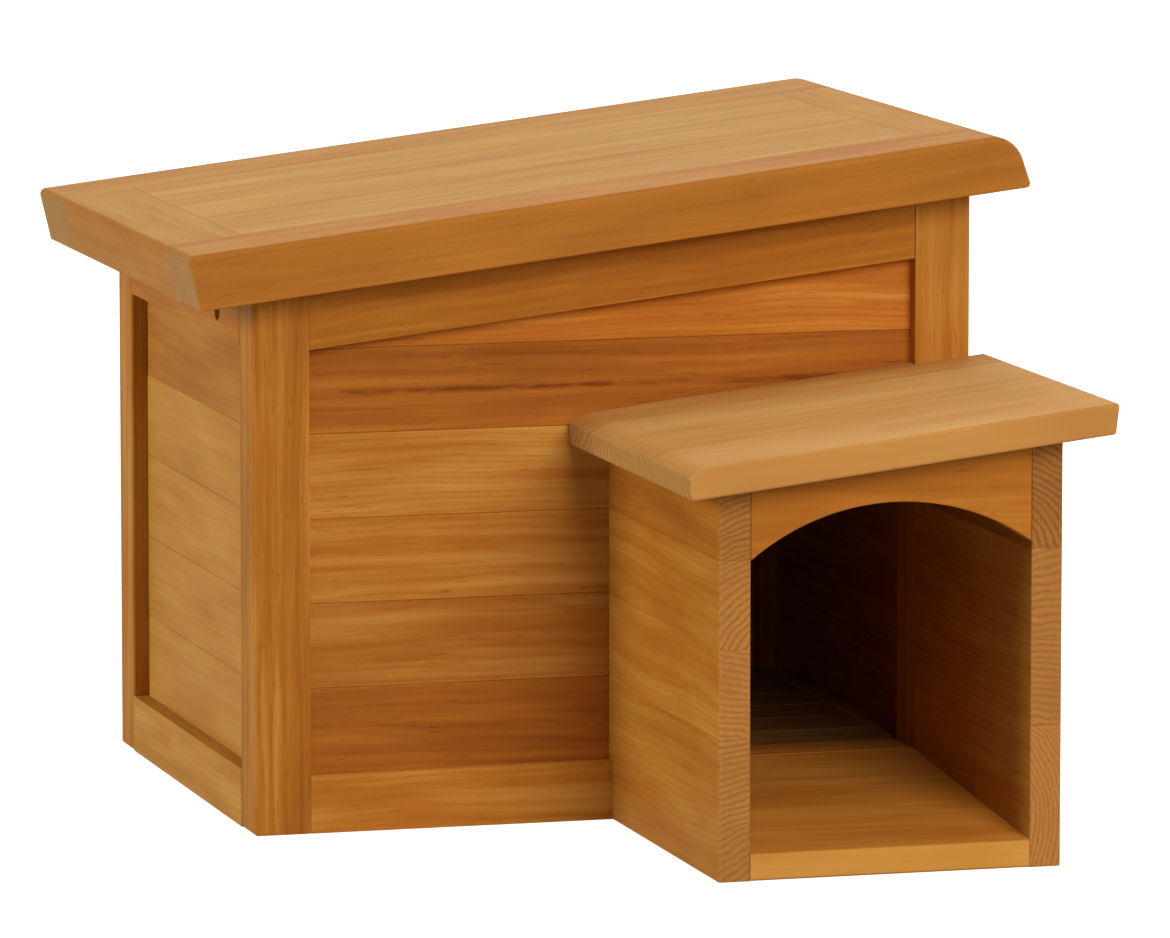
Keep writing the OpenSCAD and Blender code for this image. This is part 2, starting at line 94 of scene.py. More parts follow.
def measure(node, foot=None):
    """Lowest and highest corner of a CAD node in house millimetres, or in the sloping plane at a foot."""
    mesh = frame["nodes"][node].data
    points = np.empty(len(mesh.vertices) * 3, np.float32)
    mesh.vertices.foreach_get("co", points)
    points = (points.reshape(-1, 3) - corner) * 1000
    if foot is not None:
        points = (points - foot) @ TILT.T
    return points.min(0), points.max(0)


post_top = measure("post_front_left")[1]
post, width, depth = post_top[0], measure("post_front_right")[1][0], measure("post_back_left")[1][1]
rise = math.tan(slope)
low_height = post_top[2] - post * rise
rail_top = measure("rail_front_bottom")[1][2]
wall_foot = np.array([0, 0, low_height])
print("post", round(post, 2), "width", round(width, 2), "depth", round(depth, 2))
print("slope", round(math.degrees(slope), 2), "degrees")
print("low side", round(low_height, 2), "bottom rail", round(rail_top, 2))

# %% [markdown]
# ## Outlines with rounded corners
# Every piece of timber here is an outline carried straight through the piece. First
# comes the outline: a polygon whose corners are turned into arcs. A bevel modifier could
# round a cube as well, but a worked-out shape keeps each radius where the joiner put it.

# %% Outline functions
LAND = 0.2  # flat strip beside each arc, which keeps the large faces flat under smooth shading


def unit(v):
    """Rows of v at length one."""
    return v / np.linalg.norm(v, axis=1, keepdims=True)


def rounded(corners, radius, steps=4):
    """The outline of a polygon, anticlockwise, with an arc of the given radius at each corner.

    With t the turn at a corner and n(a) the outward normal at angle a, the arc's middle
    lies r / cos(t / 2) inside the corner on its bisector, and its points are middle + r n(a)
    while a runs over the turn. A point on each straight edge beside the arc is added."""
    p = np.array(corners, float)
    r = np.broadcast_to(np.asarray(radius, float), len(p))[:, None]
    arriving = unit(p - np.roll(p, 1, 0))
    leaving = np.roll(arriving, -1, 0)
    cross = arriving[:, 0] * leaving[:, 1] - arriving[:, 1] * leaving[:, 0]
    turn = np.arctan2(cross, (arriving * leaving).sum(1))[:, None]
    start = np.arctan2(-arriving[:, :1], arriving[:, 1:])
    side = np.sign(turn)
    bisector = np.hstack([np.cos(start + turn / 2), np.sin(start + turn / 2)])
    middle = p - side * r / np.cos(turn / 2) * bisector
    a = start + turn * np.linspace(0, 1, steps + 1)
    arc = middle[:, None] + (side * r)[:, None] * np.stack([np.cos(a), np.sin(a)], 2)
    before = arc[:, :1] - LAND * arriving[:, None]
    after = arc[:, -1:] + LAND * leaving[:, None]
    return np.concatenate([before, arc, after], 1).reshape(-1, 2)


def mitre(outline):
    """How far each point moves when the outline grows by one.

    That is (n1 + n2) / (1 + n1.n2), of the normals of the point's two edges."""
    edge = unit(np.roll(outline, -1, 0) - outline)
    after = np.stack([edge[:, 1], -edge[:, 0]], 1)
    before = np.roll(after, 1, 0)
    return (before + after) / (1 + (before * after).sum(1, keepdims=True))


# %% [markdown]
# ## Carrying an outline through a piece
# The outline is repeated in rings. Near each end the rings shrink and close up along a
# quarter circle, which is the rounded edge, or arris. The two ends are flat faces.

# %% Sticks
PLANES = {"xy": (0, 1, 2), "yz": (2, 0, 1), "xz": (0, 2, 1)}


def stick(plane, outline, low, high, edge_low=1.0, edge_high=1.0, steps=4):
    """An outline in a plane, carried from low to high along the third axis, with rounded ends.

    At angle a of an end's rounding, from 90 degrees on the flat end to 0 on the side, the
    ring is the outline drawn in by e (1 - cos a), at e (1 - sin a) from the end. The edge
    radius e is one number or one for each point of the outline."""
    count = len(outline)
    a = np.linspace(math.pi / 2, 0, steps + 1)[:, None]

    def end(e):
        e = np.broadcast_to(np.asarray(e, float), (1, count))
        inset = np.vstack([e + LAND, e * (1 - np.cos(a)), 0 * e])
        away = np.vstack([0 * e, e * (1 - np.sin(a)), e + LAND])
        return inset, away

    (inset0, away0), (inset1, away1) = end(edge_low), end(edge_high)
    inset = np.vstack([inset0, inset1[::-1]])
    height = np.vstack([low + away0, (high - away1)[::-1]])
    ring = outline - inset[:, :, None] * mitre(outline)
    points = np.concatenate([ring, height[:, :, None]], 2).reshape(-1, 3)[:, PLANES[plane]]
    i, j = np.meshgrid(np.arange(len(inset) - 1), np.arange(count), indexing="ij")
    k = (j + 1) % count
    quads = np.stack([i * count + j, i * count + k, (i + 1) * count + k, (i + 1) * count + j], 2).reshape(-1, 4)
    caps = np.stack([np.arange(count)[::-1], np.arange(count) + len(points) - count])
    if plane == "xz":
        quads, caps = quads[:, ::-1], caps[:, ::-1]
    return points, quads, caps


def block(plane, low, high, corner_radius=1.0, edge_low=1.0, edge_high=1.0):
    """A box between two corners, carried along the axis that the plane leaves out."""
    a, b = ("xyz".index(c) for c in plane)
    c = 3 - a - b
    corners = [(low[a], low[b]), (high[a], low[b]), (high[a], high[b]), (low[a], high[b])]
    return stick(plane, rounded(corners, corner_radius), low[c], high[c], edge_low, edge_high)


# %% [markdown]
# ## Nodes and colours
# A material is a small graph of nodes. One helper adds a node, sets it and links it.
# Colours are written as the hex numbers a painter's colour picker shows, and turned into
# the linear light that Blender computes with.

# %% Helpers for materials


def linear(hex_colour):
    """An sRGB hex colour as linear red, green, blue and alpha."""
    c = np.array([int(hex_colour[i : i + 2], 16) for i in (1, 3, 5)]) / 255
    c = np.where(c <= 0.04045, c / 12.92, ((c + 0.055) / 1.055) ** 2.4)
    return (*c.tolist(), 1.0)


def add(tree, kind, inputs=None, **settings):
    """Adds a node, sets its settings, and gives each named input a value or a link."""
    made = tree.nodes.new("ShaderNode" + kind)
    for name, value in settings.items():
        setattr(made, name, value)
    for name, value in (inputs or {}).items():
        if isinstance(value, bpy.types.NodeSocket):
            tree.links.new(value, made.inputs[name])
        else:
            made.inputs[name].default_value = value
    return made


def begin(name):
    """A new material with an empty graph, and its graph."""
    material = bpy.data.materials.new(name)
    material.use_nodes = True
    material.node_tree.nodes.clear()
    return material, material.node_tree


# %% [markdown]
# ## Oiled softwood
# The wood is a honey-coloured softwood, planed, sanded and oiled. Wood is solid: its
# pattern runs through the board, as long fibres with growth rings round the heart of the
# tree. So the pattern is worked out from three millimetre coordinates that every board
# carries: along the grain, across it, and through it from the heart. Long faces then show
# straight grain, and the ends show the arcs of the rings, with no seam at the edges.
# Sizes: growth rings 2.4 mm, or up to 5.5 mm in a board that grew fast, streaks of
# 6 x 170 mm, bundles of fibres of 0.9 x 30 mm, and dark resin ducts of 0.8 x 10 mm.
# Each board also has a tone, from dark red to pale yellow, a gain, which makes it lighter
# or darker as a whole, and a figure, which says how strongly its streaks show.

# %% The timber material
RING = 2.4  # width of a growth ring


def timber(name, dark, middle, light, end_dark, end_light, roughness=0.65):
    """A solid wood: growth rings round the heart, streaks, fibres and resin ducts, in millimetres."""
    material, tree = begin(name)
    grain = add(tree, "Attribute", attribute_name="grain").outputs["Vector"]
    tone = add(tree, "Attribute", attribute_name="tone").outputs["Vector"]
    tone = add(tree, "SeparateXYZ", {0: tone}).outputs
    figure = add(tree, "Attribute", attribute_name="figure").outputs["Vector"]
    figure = add(tree, "SeparateXYZ", {0: figure}).outputs
    # The grain wanders: a slow noise, 150 mm long and 45 mm wide, shifts it by a few millimetres
    slow = add(tree, "VectorMath", {0: grain, 1: (1 / 150, 1 / 45, 1 / 45)}, operation="MULTIPLY").outputs[0]
    drift = add(tree, "TexNoise", {"Vector": slow, "Scale": 1.0, "Detail": 1.0}).outputs["Color"]
    drift = add(tree, "VectorMath", {0: drift, 1: (0.5, 0.5, 0.5)}, operation="SUBTRACT").outputs[0]
    drift = add(tree, "VectorMath", {0: drift, 1: (0, 11, 9)}, operation="MULTIPLY").outputs[0]
    bent = add(tree, "VectorMath", {0: grain, 1: drift}).outputs[0]

    def noise(along, across, detail=2.0):
        size = add(tree, "VectorMath", {0: bent, 1: (1 / along, 1 / across, 1 / across)}, operation="MULTIPLY")
        return add(tree, "TexNoise", {"Vector": size.outputs[0], "Scale": 1.0, "Detail": detail}).outputs["Fac"]

    def calc(operation, a, b=0.0, c=0.0, clamp=False):
        return add(tree, "Math", {0: a, 1: b, 2: c}, operation=operation, use_clamp=clamp).outputs[0]

    blotch = calc("SUBTRACT", noise(110, 26), 0.5)
    streak = calc("SUBTRACT", noise(170, 6.0), 0.5)
    fibre = calc("SUBTRACT", noise(30, 0.9, 1.0), 0.5)
    duct = noise(10, 0.8, 0.0)
    # Rings: the distance from the heart in ring widths; dark late wood ends each ring
    around = add(tree, "VectorMath", {0: bent, 1: (0, 1 / RING, 1 / RING)}, operation="MULTIPLY").outputs[0]
    distance = add(tree, "VectorMath", {0: around}, operation="LENGTH").outputs["Value"]
    distance = calc("MULTIPLY_ADD", blotch, 2.0, distance)
    distance = calc("MULTIPLY_ADD", streak, 0.9, distance)
    late = calc("POWER", calc("PINGPONG", distance, 0.5), 2.0)
    late = calc("MULTIPLY", late, calc("MULTIPLY_ADD", blotch, 2.4, 1.0))
    # One number from dark to light, around 0.5
    lines = calc("MULTIPLY_ADD", streak, 0.8, calc("MULTIPLY", late, -0.45))
    lines = calc("MULTIPLY_ADD", fibre, 0.2, lines)
    dash = add(tree, "MapRange", {0: duct, 1: 0.70, 2: 0.82, 3: 0.04, 4: -0.2}).outputs[0]
    lines = calc("MULTIPLY", calc("ADD", lines, dash), figure[0])
    value = calc("ADD", calc("MULTIPLY_ADD", blotch, 0.5, tone[0]), calc("ADD", lines, 0.5))
    # A resin streak: a broken dark line at its own height across the board
    line = add(tree, "MapRange", {0: calc("ABSOLUTE", figure[1]), 1: 0.0, 2: 2.4, 3: 1.0, 4: 0.0}).outputs[0]
    broken = add(tree, "MapRange", {0: noise(22, 6, 1.0), 1: 0.44, 2: 0.62, 3: 0.15, 4: 1.0}).outputs[0]
    resin = calc("MULTIPLY", calc("MULTIPLY", line, broken), figure[2])
    ramp = add(tree, "ValToRGB", {0: calc("SUBTRACT", value, resin, clamp=True)})
    ramp.color_ramp.elements[0].color = linear(dark)
    ramp.color_ramp.elements[1].color = linear(light)
    ramp.color_ramp.elements.new(0.5).color = linear(middle)
    # End grain drinks more oil, so it is greyer, and its rings are clear
    rings = calc("MULTIPLY_ADD", late, -1.7, calc("MULTIPLY_ADD", fibre, 0.5, calc("ADD", tone[0], 0.6)))
    rings = calc("MULTIPLY_ADD", blotch, 0.8, rings, clamp=True)
    ends = add(tree, "Mix", {0: rings, 6: linear(end_dark), 7: linear(end_light)}, data_type="RGBA").outputs[2]
    colour = add(tree, "Mix", {0: tone[2], 6: ramp.outputs[0], 7: ends}, data_type="RGBA").outputs[2]
    gain = calc("ADD", tone[1], 1.0)
    colour = add(tree, "VectorMath", {0: colour, "Scale": gain}, operation="SCALE").outputs[0]
    rough = calc("MULTIPLY_ADD", fibre, 0.16, roughness)
    height = calc("MULTIPLY_ADD", late, -1.2, fibre)
    bump = add(tree, "Bump", {"Height": height, "Strength": 0.2, "Distance": 0.0002})
    # The oil has sunk in, so little of a film is left to shine: a low IOR and a rough surface
    looks = {"Base Color": colour, "Roughness": rough, "Normal": bump.outputs[0], "IOR": 1.15}
    shader = add(tree, "BsdfPrincipled", looks)
    add(tree, "OutputMaterial", {0: shader.outputs[0]})
    return material


# %% Timber finishes
FINISH = {
    "frame_timber": timber("oiled_larch_frame", "#7a3e0c", "#ad671f", "#cf9a48", "#8a5626", "#b98a4c"),
    "board_timber": timber("oiled_larch_boards", "#78380a", "#ab631f", "#cf9645", "#8a5626", "#b98a4c"),
    "lid_timber": timber("oiled_larch_lid", "#834715", "#b16e27", "#d0a050", "#9c6830", "#b57f42"),
    "porch_timber": timber("oiled_larch_porch", "#763a0e", "#a9651f", "#ca9040", "#864e1e", "#b87c3c"),
    "porch_roof_timber": timber("oiled_larch_porch_roof", "#875029", "#b47b3c", "#d0a463", "#946130", "#be8b4e"),
    "plain_timber": timber("oiled_spruce", "#6a3e1a", "#94602c", "#b98a50", "#7a5028", "#a97c48", 0.7),
}
print("finishes", ", ".join(m.name for m in FINISH.values()))

# %% [markdown]
# ## Brass
# Hinges and screws are drawn and turned brass, lacquered to a satin shine: a metal whose
# colour is all in its reflection, with faint brushed lines that widen the highlights.

# %% The brass material


def brass():
    """Satin brass with fine scratches about 0.4 mm apart."""
    material, tree = begin("satin_brass")
    place = add(tree, "TexCoord").outputs["Object"]
    lines = add(tree, "VectorMath", {0: place, 1: (60, 2500, 2500)}, operation="MULTIPLY").outputs[0]
    scratch = add(tree, "TexNoise", {"Vector": lines, "Scale": 1.0, "Detail": 2.0}).outputs["Fac"]
    rough = add(tree, "MapRange", {0: scratch, 1: 0.3, 2: 0.7, 3: 0.24, 4: 0.4}).outputs[0]
    tarnish = add(tree, "TexNoise", {"Vector": place, "Scale": 90.0, "Detail": 3.0}).outputs["Fac"]
    tones = {0: tarnish, 6: linear("#b98f45"), 7: linear("#e0bb6c")}
    colour = add(tree, "Mix", tones, data_type="RGBA").outputs[2]
    shader = add(tree, "BsdfPrincipled", {"Base Color": colour, "Metallic": 1.0, "Roughness": rough})
    add(tree, "OutputMaterial", {0: shader.outputs[0]})
    return material


FINISH["brass"] = brass()

# %% [markdown]
# ## From shape to piece
# A board is a shape with the direction of its grain, the normal of its broad face, and a
# tone of its own, because no two boards come from the same place in a tree. A piece is one
# or more boards in one mesh that stands for a CAD node: it rides on the node's body and
# takes the node's slot. The random generator is seeded, so every run cuts the same trees.

# %% Boards and pieces
rng = np.random.default_rng(11)
SLOT = {row["node"]: row["material_slot"] for row in frame["record"]["subparts"]}
X, Y, Z = np.eye(3)
UP_SLOPE, OFF_SLOPE = TILT[0], TILT[2]
END_REACH = 30.0  # end grain shows only this near to a board's ends, not on the wall of a hole


def board(shape, along, through, light=0.0, gain=0.0, painted_face_light=0.0, figure=1.0, rings=None, resin=(0.0, 0.0)):
    """A shape with its grain.

    Light is its tone and gain its brightness. The number after them is painted light: it makes the
    face turned along through paler, yellower and a little darker, a painted sheen, and paints a
    redder band of shade on the rounded edge round that face. Figure is the strength of the streaks. Rings is the
    place of the board's middle from the heart (distance, angle of the rings, width of a ring), drawn at
    random if not given, and resin the height and strength of a resin streak."""
    heart = np.array([rng.uniform(200, 3000), rng.normal(0, 22), rng.uniform(28, 95)])
    coarse = 1.0
    if rings:
        angle, coarse = math.radians(rings[1]), rings[2] / RING
        heart[1:] = rings[0] * math.cos(angle) / coarse, -rings[0] * math.sin(angle) / coarse
    turn = np.stack([along, np.cross(through, along), through], 1)
    return {"shape": shape, "turn": turn, "heart": heart, "tone": (light, gain, painted_face_light), "figure": figure,
            "resin": resin, "coarse": np.array([1, coarse, coarse])}


def mesh_object(name, points, quads, caps):
    """A mesh from arrays of points, four-cornered faces and end faces; points are in house millimetres."""
    mesh = bpy.data.meshes.new(name)
    mesh.from_pydata((points / 1000 + corner).tolist(), [], quads.tolist() + [c.tolist() for c in caps])
    made = bpy.data.objects.new(name, mesh)
    bpy.context.scene.collection.objects.link(made)
    return made


def cut(made, cutters):
    """Takes closed meshes out of an object with exact Booleans, and deletes them."""
    for cutter in cutters:
        modifier = made.modifiers.new("cut", "BOOLEAN")
        modifier.operation, modifier.solver, modifier.object = "DIFFERENCE", "EXACT", cutter
    made.data = bpy.data.meshes.new_from_object(made.evaluated_get(bpy.context.evaluated_depsgraph_get()))
    made.modifiers.clear()
    for cutter in cutters:
        bpy.data.objects.remove(cutter)


def settle(made, node):
    """Smooth faces with sharp edges kept, the node's finish and slot, and a ride on the node's body."""
    made.data.shade_smooth()
    made.data.set_sharp_from_angle(angle=math.radians(40))
    made.data.materials.clear()
    made.data.materials.append(FINISH[SLOT[node]])
    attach(made, frame["nodes"][node]["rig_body"])
    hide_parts(node)
    return made


def joined(name, shapes):
    """One mesh of several shapes."""
    starts = np.cumsum([0] + [len(s[0]) for s in shapes[:-1]])
    quads = np.vstack([s[1] + n for s, n in zip(shapes, starts)])
    caps = [c + n for s, n in zip(shapes, starts) for c in s[2]]
    return mesh_object(name, np.vstack([s[0] for s in shapes]), quads, caps)


def piece(node, boards, cutters=()):
    """One mesh for a CAD node, with each board's grain and tone on its points."""
    counts = [len(b["shape"][0]) for b in boards]
    made = joined(node + "_timber", [b["shape"] for b in boards])
    if cutters:
        cut(made, cutters)
        counts = [len(made.data.vertices)]
    settle(made, node)
    total = len(made.data.vertices)
    place, normal = np.empty(total * 3, np.float32), np.empty(total * 3, np.float32)
    made.data.vertices.foreach_get("co", place)
    made.data.vertex_normals.foreach_get("vector", normal)
    place = (place.reshape(-1, 3) - corner) * 1000
    grain, tone, figure = (np.empty((total, 3)) for _ in range(3))
    for b, start, count in zip(boards, np.cumsum([0] + counts[:-1]), counts):
        span = slice(start, start + count)
        middle = (place[span].min(0) + place[span].max(0)) / 2
        local = (place[span] - middle) @ b["turn"]
        grain[span] = local / b["coarse"] + b["heart"]
        facing = normal.reshape(-1, 3)[span] @ b["turn"]
        light, gain, painted_face_light = b["tone"]
        # Painted light: the face turned along through gets a paler, yellower tone and a lower gain, a painted
        # sheen of the light on it, and its rounded edge gets a redder tone, painted shade.
        up = np.clip(facing[:, 2], 0, 1) ** 4
        arris = 4 * up * (1 - up)  # highest halfway round an upper edge
        tone[span, 0] = light + painted_face_light * (up - 0.7 * arris)
        tone[span, 1] = gain - 0.4 * painted_face_light * up
        at_end = np.abs(local[:, 0]) > local[:, 0].max() - END_REACH
        tone[span, 2] = np.clip(np.abs(facing[:, 0]) * 1.6 - 0.25, 0, 1) * at_end
        height, strength = b["resin"]
        plain, streaked = np.full(count, b["figure"]), np.full(count, strength)
        figure[span] = np.column_stack([plain, local[:, 1] - height, streaked])
    for name, values in (("grain", grain), ("tone", tone), ("figure", figure)):
        attribute = made.data.attributes.new(name, "FLOAT_VECTOR", "POINT")
        attribute.data.foreach_set("vector", values.astype(np.float32).ravel())
    return made


# %% [markdown]
# ## Posts
# Four square posts with their tops cut to the slope. Each is its front outline, carried
# to the back. The outer edges are rounded with sandpaper to a radius of 1.6 mm; the inner
# ones, where rails meet the post, are only just broken.

# %% Posts
TIGHT, SOFT = 0.5, 1.1  # radius of an inner edge, and what an outer edge has more
INNER_CORNER, OUTER_CORNER = 0.8, 2.0  # radius at the foot and the top of those sides
# Tone, gain and figure of each post
POSTS = {
    "front_left": (-0.02, -0.05, 0.9), "front_right": (0.06, 0.0, 0.7),
    "back_left": (0.04, 0.0, 0.7), "back_right": (0.03, 0.0, 0.7),
}
for side, (light, gain, figure) in POSTS.items():
    low, high = measure("post_" + side)
    top = [low_height + low[0] * rise, low_height + high[0] * rise]
    at_left = low[0] < width / 2
    inside, outside = INNER_CORNER, OUTER_CORNER
    radii = [outside, inside, inside, outside] if at_left else [inside, outside, outside, inside]
    outline = rounded([(low[0], 0), (high[0], 0), (high[0], top[1]), (low[0], top[0])], radii)
    outward = mitre(outline)[:, 0] * (-1 if at_left else 1)
    edge = TIGHT + SOFT * np.clip(outward, 0, 1)
    shape = stick("xz", outline, low[1], high[1], edge, edge)
    piece("post_" + side, [board(shape, Z, Y, light, gain, figure=figure)])
print("posts", round(post, 1), "mm square")

# %% [markdown]
# ## Rails
# Rails run between the posts. The top rails of the front and back slope with the lid, and
# the level top rails of the sides have three small round vents. They are cut with a
# Boolean, because a carried outline can't give a bar a hole across it.

# %% Rails


def band(x0, x1, lower, upper):
    """Four corners of a bar that slopes with the walls, its edges so far below the wall tops."""
    return [(x0, low_height + x0 * rise - lower), (x1, low_height + x1 * rise - lower),
            (x1, low_height + x1 * rise - upper), (x0, low_height + x0 * rise - upper)]


EDGE, CORNER = 0.4, 0.65
inner = (post, width - post)
slope_rail = 33.0  # height of the sloping rails, which their tenons hide from a measurement
JOINT_GAP = 0.3  # the shoulder at the right post stands open a little
for side, y0, tones in (("front", 0.0, (0.03, -0.03)), ("back", depth - post, (0.0, 0.02))):
    bottom = block("xz", (inner[0], y0, 0), (inner[1], y0 + post, rail_top), CORNER, EDGE, EDGE)
    piece(f"rail_{side}_bottom", [board(bottom, X, Y, tones[0], figure=0.6)])
    outline = rounded(band(inner[0], inner[1] - JOINT_GAP, slope_rail, 0), CORNER)
    top = stick("xz", outline, y0, y0 + post, EDGE, EDGE)
    piece(f"rail_{side}_top", [board(top, UP_SLOPE, Y, tones[1], figure=0.6)])


def drill(x0, x1, y, z, radius):
    """A round cutter along X."""
    a = np.linspace(0, 2 * math.pi, 33)[:-1]
    outline = np.stack([y + radius * np.cos(a), z + radius * np.sin(a)], 1)
    return mesh_object("drill", *stick("yz", outline, x0, x1, 0.3, 0.3))


# Width of a vent, its distance from the front or the back, and its height above the rail's foot
VENT_D, VENT_INSET, VENT_UP = 12.0, 81.0, 14.5
# The left bottom rail's tone of 0.18 is partly painted light: the left side is made paler and yellower for the
# light that falls on it from the left.
for side, x0, tones in (("left", 0.0, (0.18, -0.02)), ("right", width - post, (0.02, 0.0))):
    bottom = block("xz", (x0, inner[0], 0), (x0 + post, depth - post, rail_top), CORNER, EDGE, EDGE)
    piece(f"rail_{side}_bottom", [board(bottom, Y, X, tones[0], figure=0.5)])
    foot = measure(f"rail_{side}_top")[0][2]
    x1 = x0 + post
    corners = [(x0, foot), (x1, foot), (x1, low_height + x1 * rise), (x0, low_height + x0 * rise)]
    top = stick("xz", rounded(corners, CORNER), inner[0], depth - post, EDGE, EDGE)
    vents = (VENT_INSET, depth / 2, depth - VENT_INSET)
    drills = [drill(x0 - 2, x1 + 2, y, foot + VENT_UP, VENT_D / 2) for y in vents]
    piece(f"rail_{side}_top", [board(top, Y, X, tones[1], figure=0.5)], drills)
print("rails", round(inner[0], 1), "to", round(inner[1], 1), "mm")

# %% [markdown]
# ## Wall boards
# Sunk boards fill the frames. They reach into the posts and rails a few millimetres, as
# boards in grooves do, so their ends don't show. Two boards meet in a fine V where
# their edges are broken. On the front, the sixth board is a wedge under the sloping rail,
# and the lower three stop at the doorway.

# %% Wall boards
BOARD_EDGE = 0.55
BOARD_CORNER = BOARD_EDGE + 0.3
HAIR = 0.02  # between boards, so that their meshes don't share a face
INTO = 5.5  # how far a board reaches into the grooves
FACE, BACK = measure("front_board_2")[0][1], measure("front_board_2")[1][1]
seams = [rail_top] + [measure(f"front_board_{i}")[0][2] for i in range(2, 7)]
door_x = measure("front_board_1")[1][0]
# Tone and gain of each front board. The sixth board's gain of 0.26 is painted light: it makes up for the shade
# under the lid and the top rail.
FRONT_TONES = [(-0.16, -0.05), (0.05, -0.12), (0.12, -0.04), (0.16, -0.04), (-0.14, 0.0), (-0.03, 0.26)]


def wall_board(i, x1):
    """Outline of front board i, from the left post to x1, cut off by the sloping rail."""
    x0 = inner[0] - INTO
    low = seams[i] - (INTO if i == 0 else 0)
    if i < 5:
        return [(x0, low), (x1, low), (x1, seams[i + 1] - HAIR), (x0, seams[i + 1] - HAIR)]
    edge = low_height - slope_rail + INTO  # the board's hidden upper edge where x is zero
    tip = (low - edge) / rise
    start = max(tip, x0)
    return [(start, low), (x1, low), (x1, edge + x1 * rise), (start, edge + start * rise)]


for i, (light, gain) in enumerate(FRONT_TONES):
    x1 = door_x if i < 3 else inner[1] + INTO
    outline = rounded(wall_board(i, x1), BOARD_CORNER)
    shape = stick("xz", outline, FACE, BACK, BOARD_EDGE, BOARD_EDGE)
    resin = (1.0, 0.42) if i == 4 else (0.0, 0.0)
    piece(f"front_board_{i + 1}", [board(shape, X, Y, light, gain, figure=0.7, resin=resin)])
back = []
for i in range(6):
    outline = rounded(wall_board(i, inner[1] + INTO), BOARD_CORNER)
    shape = stick("xz", outline, depth - BACK, depth - FACE, BOARD_EDGE, BOARD_EDGE)
    back.append(board(shape, X, Y, rng.uniform(-0.08, 0.1), figure=0.7))
piece("back_boards", back)
print("seams at", [round(float(s), 1) for s in seams])

# %% [markdown]
# ## Side boards
# The side walls are level boards of the same kind. On the left, they have dried and drawn
# back from the rear post by a hair, most of all the top one, so a thin dark slit stands
# there. A gap of its own for each board is simpler than modelling the groove's shadow.

# %% Side boards
# Tone and gain of each left board: partly each board's own, and partly painted light, since the whole side is
# made paler and yellower for the light from the left.
LEFT_TONES = [(0.28, -0.08), (0.2, -0.06), (0.22, -0.06), (0.22, -0.06), (0.06, -0.1)]
LEFT_GAPS = [0.5, 0.5, 0.6, 0.8, 2.2]  # the left boards have shrunk away from the back post


def side_board(i, count, x0, x1, gap=-INTO):
    """Side board i between two x faces, ending at a gap from the back post."""
    low = seams[i] - (INTO if i == 0 else 0)
    high = seams[i] + (seams[2] - seams[1]) + (INTO if i == count - 1 else -HAIR)
    near, far = (x0, inner[0] - INTO, low), (x1, depth - post - gap, high)
    return block("yz", near, far, BOARD_CORNER, BOARD_EDGE, BOARD_EDGE)


for i, ((light, gain), gap) in enumerate(zip(LEFT_TONES, LEFT_GAPS)):
    shape = side_board(i, len(LEFT_TONES), FACE, BACK, gap)
    piece(f"left_board_{i + 1}", [board(shape, Y, X, light, gain, figure=0.35)])
right = []
for i in range(6):
    shape = side_board(i, 6, width - BACK, width - FACE)
    right.append(board(shape, Y, X, rng.uniform(0.0, 0.16), figure=0.5))
piece("right_boards", right)

# %% [markdown]
# ## Floor
# Six plain planed boards with drainage gaps lie on two battens inside the bottom rails.
# They are painted darker than the oiled outside, as painted shade for the dark inside of the house.

# %% Floor
low, high = measure("floor_boards")
GAP, FLOOR_COUNT = 1.0, 6
pitch = (high[1] - low[1] + GAP) / FLOOR_COUNT
floor = []
for i in range(FLOOR_COUNT):
    y0 = low[1] + i * pitch
    shape = block("yz", (low[0], y0, low[2]), (high[0], y0 + pitch - GAP, high[2]), 1.0, 0.6, 0.6)
    # The gain of -0.3 is painted shade: it darkens the floor for the dark inside of the house.
    floor.append(board(shape, X, Z, rng.uniform(-0.08, 0.08), -0.3))
piece("floor_boards", floor)
low, high = measure("floor_battens")
BATTEN = 20.0
battens = []
for x in (low[0], high[0] - BATTEN):
    shape = block("xz", (x, low[1], low[2]), (x + BATTEN, high[1], high[2]), 1.3)
    battens.append(board(shape, Y, Z))
piece("floor_battens", battens)

# %% [markdown]
# ## Porch walls
# Each wall is four boards on edge. Their ends face the front, so the growth rings show
# there, and each board's heart lies somewhere else. The outline of a wall seen from above
# is carried up from joint to joint, which leaves its rounded front corner unbroken, and
# the top board's upper end is sheared to the slope of the roof.

# %% Porch walls
roof_low, roof_high = measure("porch_left_4")
porch_x, porch_front = roof_low[0], roof_low[1]
wall_t = roof_high[0] - roof_low[0]
porch_height = roof_high[2] - wall_t * rise
porch_foot = np.array([porch_x, 0, porch_height])
porch_end = measure("porch_right_4")[1][0]
porch_seams = [measure(f"porch_left_{i}")[0][2] for i in range(1, 5)]
WALL_EDGE = 0.25  # the boards meet almost without a joint
WALL_CORNERS = {"left": [2.0, 0.8, 0.5, 0.5], "right": [0.8, 1.2, 0.5, 0.5]}  # front two, back two
# Each board's tone and gain, and its place from the heart of the tree: distance in mm,
# angle and width of the rings
WALLS = {
    "left": [
        (0.08, 0.0, (90, 18, 3.6)), (0.08, 0.06, (80, -8, 3.4)),
        (0.04, 0.03, (50, 42, 3.2)), (-0.08, 0.0, (80, 20, 3.2)),
    ],
    "right": [
        (0.18, 0.04, (60, -76, 2.3)), (0.08, 0.02, (160, -4, 3.6)),
        (0.10, 0.0, (200, 3, 4.0)), (-0.14, -0.06, (46, -38, 3.6)),
    ],
}


def under_roof(x):
    """Height of the porch roof's underside at x."""
    return porch_height + (x - porch_x) * rise


